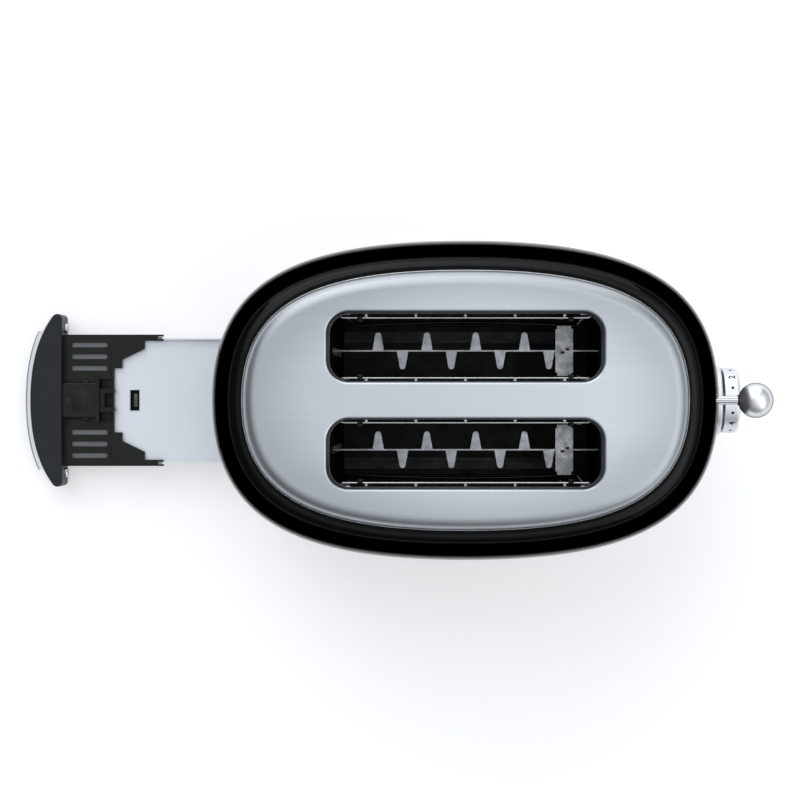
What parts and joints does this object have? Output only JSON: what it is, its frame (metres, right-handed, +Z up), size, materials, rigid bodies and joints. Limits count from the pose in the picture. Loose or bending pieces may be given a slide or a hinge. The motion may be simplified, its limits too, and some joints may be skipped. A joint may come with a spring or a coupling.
{
  "type": "toaster",
  "caption": "Long oval toaster with two bread slots in a steel top plate, a ball-ended lever, a browning dial and a crumb tray pulled out at the end.",
  "frame": {"origin": "point on the table under the middle of the body", "axes": "+X towards the lever and dial end, +Y across the body, +Z up"},
  "size_m": [0.4643, 0.192, 0.198],
  "materials": {
    "shell_gloss": "gloss",
    "chrome_bright": "polished",
    "plate_steel": "satin",
    "seal_black": "matt",
    "floor_black": "satin",
    "foot_rubber": "matt",
    "sheet_steel": "satin",
    "inner_dark": "satin",
    "mica_board": "matt",
    "heater_ribbon": "dull",
    "guard_wire": "satin",
    "carrier_steel": "galvanised",
    "knob_metal": "satin",
    "handle_black": "satin",
    "frame_black": "moulded",
    "tray_alloy": "brushed",
    "board_green": "lacquered",
    "coil_copper": "enamelled",
    "terminal_white": "moulded"
  },
  "bodies": {
    "toaster_body": {"outer_shell": "shell_gloss", "base_band": "chrome_bright", "base_pan": "floor_black", "feet": "foot_rubber", "foot_screws": "sheet_steel", "top_plate": "plate_steel", "rim_gasket": "seal_black", "front_sheet": "inner_dark", "rear_sheet": "inner_dark", "left_reflector": "sheet_steel", "right_reflector": "sheet_steel", "centre_divider": "sheet_steel", "guide_rod": "sheet_steel", "top_bracket": "sheet_steel", "latch_magnet_core": "sheet_steel", "latch_magnet_coil": "coil_copper", "lift_spring": "guard_wire", "browning_control": "frame_black", "knob_bezel": "knob_metal", "front_frame": "frame_black", "circuit_board": "board_green", "button_switches": "frame_black", "lever_slot_liner": "frame_black", "tray_guides": "sheet_steel", "latch_striker": "sheet_steel", "cord_gland": "foot_rubber", "terminal_block": "terminal_white", "left_inner_heater_board": "mica_board", "left_inner_heater_winding": "heater_ribbon", "left_outer_heater_board": "mica_board", "left_outer_heater_winding": "heater_ribbon", "right_inner_heater_board": "mica_board", "right_inner_heater_winding": "heater_ribbon", "right_outer_heater_board": "mica_board", "right_outer_heater_winding": "heater_ribbon"},
    "lever_carriage": {"left_bread_carrier": "carrier_steel", "right_bread_carrier": "carrier_steel", "carriage_bar": "sheet_steel", "carriage_slider": "sheet_steel", "latch_armature": "sheet_steel", "lever_arm": "chrome_bright", "lever_ball": "chrome_bright"},
    "crumb_tray": {"tray_handle": "handle_black", "handle_trim": "chrome_bright", "handle_lip": "chrome_bright", "handle_screws": "chrome_bright", "crumb_plate": "tray_alloy", "tray_frame": "frame_black", "latch_housing": "frame_black", "latch_jaws": "frame_black"},
    "browning_dial": {"browning_knob": "knob_metal", "knob_shaft": "sheet_steel"},
    "stop_button_cap": {"stop_button": "chrome_bright"},
    "reheat_button_cap": {"reheat_button": "chrome_bright"},
    "defrost_button_cap": {"defrost_button": "chrome_bright"},
    "bagel_button_cap": {"bagel_button": "chrome_bright"},
    "left_inner_guard_grid": {"left_inner_guard": "guard_wire"},
    "left_outer_guard_grid": {"left_outer_guard": "guard_wire"},
    "right_inner_guard_grid": {"right_inner_guard": "guard_wire"},
    "right_outer_guard_grid": {"right_outer_guard": "guard_wire"}
  },
  "joints": [
    {"name": "lever_slide", "type": "slide", "parent": "toaster_body", "child": "lever_carriage", "axis": [0, 0, 1], "range_m": [-0.062, 0.01], "stiffness_N_per_m": 250, "springref_m": 0.0077, "deforming": ["lift_spring"]},
    {"name": "tray_slide", "type": "slide", "parent": "toaster_body", "child": "crumb_tray", "axis": [1, 0, 0], "range_m": [-0.06, 0.135]},
    {"name": "dial_turn", "type": "hinge", "parent": "toaster_body", "child": "browning_dial", "pos_m": [0.16, 0, 0.054], "axis": [1, 0, 0], "range_deg": [-135, 90]},
    {"name": "stop_button_press", "type": "slide", "parent": "toaster_body", "child": "stop_button_cap", "axis": [1, 0, 0], "range_m": [-0.0025, 0], "stiffness_N_per_m": 200},
    {"name": "reheat_button_press", "type": "slide", "parent": "toaster_body", "child": "reheat_button_cap", "axis": [1, 0, 0], "range_m": [-0.0025, 0], "stiffness_N_per_m": 200},
    {"name": "defrost_button_press", "type": "slide", "parent": "toaster_body", "child": "defrost_button_cap", "axis": [1, 0, 0], "range_m": [-0.0025, 0], "stiffness_N_per_m": 200},
    {"name": "bagel_button_press", "type": "slide", "parent": "toaster_body", "child": "bagel_button_cap", "axis": [1, 0, 0], "range_m": [-0.0025, 0], "stiffness_N_per_m": 200},
    {"name": "left_inner_guard_tilt", "type": "hinge", "parent": "toaster_body", "child": "left_inner_guard_grid", "pos_m": [0, 0.0112, 0.04], "axis": [1, 0, 0], "range_deg": [-4.05, 0.7]},
    {"name": "left_outer_guard_tilt", "type": "hinge", "parent": "toaster_body", "child": "left_outer_guard_grid", "pos_m": [0, 0.048, 0.04], "axis": [1, 0, 0], "range_deg": [-0.7, 4.05]},
    {"name": "right_inner_guard_tilt", "type": "hinge", "parent": "toaster_body", "child": "right_inner_guard_grid", "pos_m": [0, -0.0112, 0.04], "axis": [1, 0, 0], "range_deg": [-0.7, 4.05]},
    {"name": "right_outer_guard_tilt", "type": "hinge", "parent": "toaster_body", "child": "right_outer_guard_grid", "pos_m": [0, -0.048, 0.04], "axis": [1, 0, 0], "range_deg": [-4.05, 0.7]}
  ],
  "couplings": [
    {"joint": "left_inner_guard_tilt", "follows": "lever_slide", "rad_per_m": 1.126},
    {"joint": "left_outer_guard_tilt", "follows": "lever_slide", "rad_per_m": -1.126},
    {"joint": "right_inner_guard_tilt", "follows": "lever_slide", "rad_per_m": -1.126},
    {"joint": "right_outer_guard_tilt", "follows": "lever_slide", "rad_per_m": 1.126}
  ]
}
